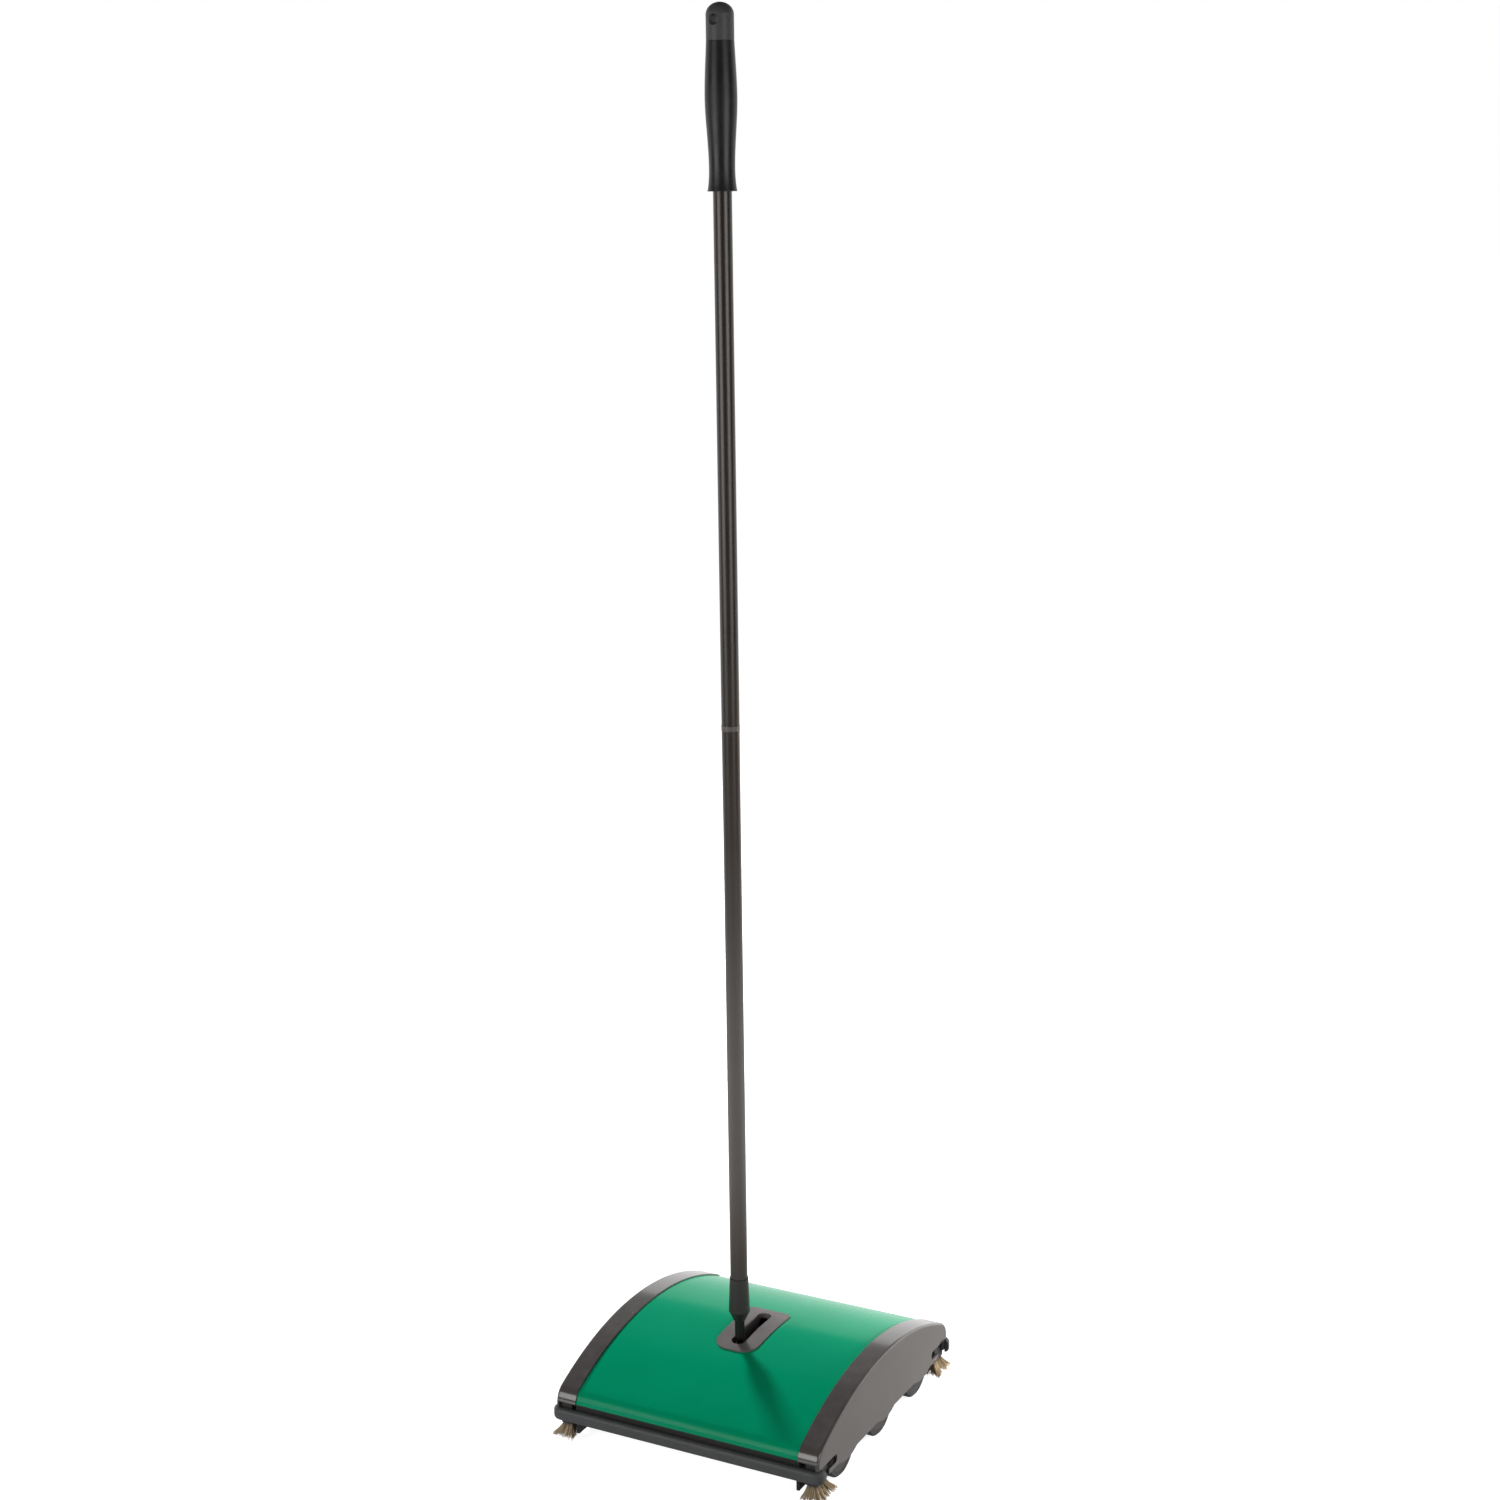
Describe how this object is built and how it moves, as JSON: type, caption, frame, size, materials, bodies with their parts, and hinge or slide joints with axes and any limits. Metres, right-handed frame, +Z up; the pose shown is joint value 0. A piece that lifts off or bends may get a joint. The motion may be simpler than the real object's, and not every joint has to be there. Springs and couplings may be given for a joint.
{
  "type": "carpet sweeper",
  "caption": "Manual carpet sweeper: arched metal cover between moulded end caps, friction-driven brush rolls, drop-down dust pans, corner brushes and a long tilting handle.",
  "frame": {"origin": "on the floor under the middle of the case", "axes": "+Z up along the upright handle, front bumper at -Y, +X to the right seen from the front"},
  "size_m": [0.2442, 0.257, 1.118],
  "materials": {
    "cover_green": "gloss enamel",
    "cap_grey": "satin moulded",
    "plate_grey": "satin moulded",
    "steel": "bright",
    "nylon": "natural",
    "side_plate_black": "satin moulded",
    "holder_black": "satin moulded",
    "bristle_tan": "bristle",
    "roll_bristle": "bristle",
    "bumper_grey": "soft vinyl",
    "stem_steel": "black enamel",
    "ferrule_black": "satin moulded",
    "tube_black": "gloss enamel",
    "ring_grey": "satin",
    "grip_black": "soft touch",
    "grip_cap_grey": "satin moulded",
    "core_wood": "turned",
    "drum_rubber": "matt",
    "pan_grey": "satin moulded",
    "tyre_black": "matt",
    "wheel_black": "satin moulded"
  },
  "bodies": {
    "case": {"top_cover": "cover_green", "slot_plate": "plate_grey", "pivot_pin": "steel", "pivot_clip": "steel", "friction_washers": "steel", "cap_screws": "steel", "wheel_axles": "steel", "roll_bushes": "nylon", "pan_hinge_rods": "steel", "left_end_cap": "cap_grey", "right_end_cap": "cap_grey", "left_side_plate": "side_plate_black", "right_side_plate": "side_plate_black", "front_left_brush_holder": "holder_black", "front_right_brush_holder": "holder_black", "rear_left_brush_holder": "holder_black", "rear_right_brush_holder": "holder_black", "front_left_corner_brush": "bristle_tan", "front_right_corner_brush": "bristle_tan", "rear_left_corner_brush": "bristle_tan", "rear_right_corner_brush": "bristle_tan", "front_bumper": "bumper_grey", "rear_bumper": "bumper_grey", "front_lip_rail": "side_plate_black", "rear_lip_rail": "side_plate_black"},
    "handle": {"handle_stem": "stem_steel", "stem_ferrule": "ferrule_black", "lower_tube": "tube_black", "tube_joint": "ring_grey", "upper_tube": "tube_black", "hand_grip": "grip_black", "grip_cap": "grip_cap_grey"},
    "front_roll": {"front_roll_shaft": "steel", "front_roll_core": "core_wood", "front_roll_bristles": "roll_bristle", "front_roll_drums": "drum_rubber"},
    "rear_roll": {"rear_roll_shaft": "steel", "rear_roll_core": "core_wood", "rear_roll_bristles": "roll_bristle", "rear_roll_drums": "drum_rubber"},
    "front_pan": {"front_dust_pan": "pan_grey"},
    "rear_pan": {"rear_dust_pan": "pan_grey"},
    "wheel_front_left": {"front_left_tyre": "tyre_black", "front_left_wheel": "wheel_black"},
    "wheel_front_right": {"front_right_tyre": "tyre_black", "front_right_wheel": "wheel_black"},
    "wheel_middle_left": {"middle_left_tyre": "tyre_black", "middle_left_wheel": "wheel_black"},
    "wheel_middle_right": {"middle_right_tyre": "tyre_black", "middle_right_wheel": "wheel_black"},
    "wheel_rear_left": {"rear_left_tyre": "tyre_black", "rear_left_wheel": "wheel_black"},
    "wheel_rear_right": {"rear_right_tyre": "tyre_black", "rear_right_wheel": "wheel_black"}
  },
  "joints": [
    {"name": "handle_tilt", "type": "hinge", "parent": "case", "child": "handle", "pos_m": [0, 0, 0.04997], "axis": [-1, 0, 0], "range_deg": [0, 85]},
    {"name": "front_roll_spin", "type": "hinge", "parent": "case", "child": "front_roll", "pos_m": [0, -0.036, 0.0286], "axis": [1, 0, 0], "continuous": true},
    {"name": "rear_roll_spin", "type": "hinge", "parent": "case", "child": "rear_roll", "pos_m": [0, 0.036, 0.0286], "axis": [1, 0, 0], "continuous": true},
    {"name": "front_left_wheel_spin", "type": "hinge", "parent": "case", "child": "wheel_front_left", "pos_m": [0, -0.072, 0.025], "axis": [1, 0, 0], "continuous": true},
    {"name": "front_right_wheel_spin", "type": "hinge", "parent": "case", "child": "wheel_front_right", "pos_m": [0, -0.072, 0.025], "axis": [1, 0, 0], "continuous": true},
    {"name": "middle_left_wheel_spin", "type": "hinge", "parent": "case", "child": "wheel_middle_left", "pos_m": [0, 0, 0.025], "axis": [1, 0, 0], "continuous": true},
    {"name": "middle_right_wheel_spin", "type": "hinge", "parent": "case", "child": "wheel_middle_right", "pos_m": [0, 0, 0.025], "axis": [1, 0, 0], "continuous": true},
    {"name": "rear_left_wheel_spin", "type": "hinge", "parent": "case", "child": "wheel_rear_left", "pos_m": [0, 0.072, 0.025], "axis": [1, 0, 0], "continuous": true},
    {"name": "rear_right_wheel_spin", "type": "hinge", "parent": "case", "child": "wheel_rear_right", "pos_m": [0, 0.072, 0.025], "axis": [1, 0, 0], "continuous": true},
    {"name": "front_pan_drop", "type": "hinge", "parent": "case", "child": "front_pan", "pos_m": [0, -0.1155, 0.0165], "axis": [-1, 0, 0], "range_deg": [0, 60]},
    {"name": "rear_pan_drop", "type": "hinge", "parent": "case", "child": "rear_pan", "pos_m": [0, 0.1155, 0.0165], "axis": [1, 0, 0], "range_deg": [0, 60]}
  ],
  "couplings": [
    {"joint": "rear_roll_spin", "follows": "front_roll_spin", "ratio": 1},
    {"joint": "front_left_wheel_spin", "follows": "front_roll_spin", "ratio": -0.43518},
    {"joint": "front_right_wheel_spin", "follows": "front_roll_spin", "ratio": -0.43518},
    {"joint": "middle_left_wheel_spin", "follows": "front_roll_spin", "ratio": -0.43518},
    {"joint": "middle_right_wheel_spin", "follows": "front_roll_spin", "ratio": -0.43518},
    {"joint": "rear_left_wheel_spin", "follows": "front_roll_spin", "ratio": -0.43518},
    {"joint": "rear_right_wheel_spin", "follows": "front_roll_spin", "ratio": -0.43518}
  ]
}
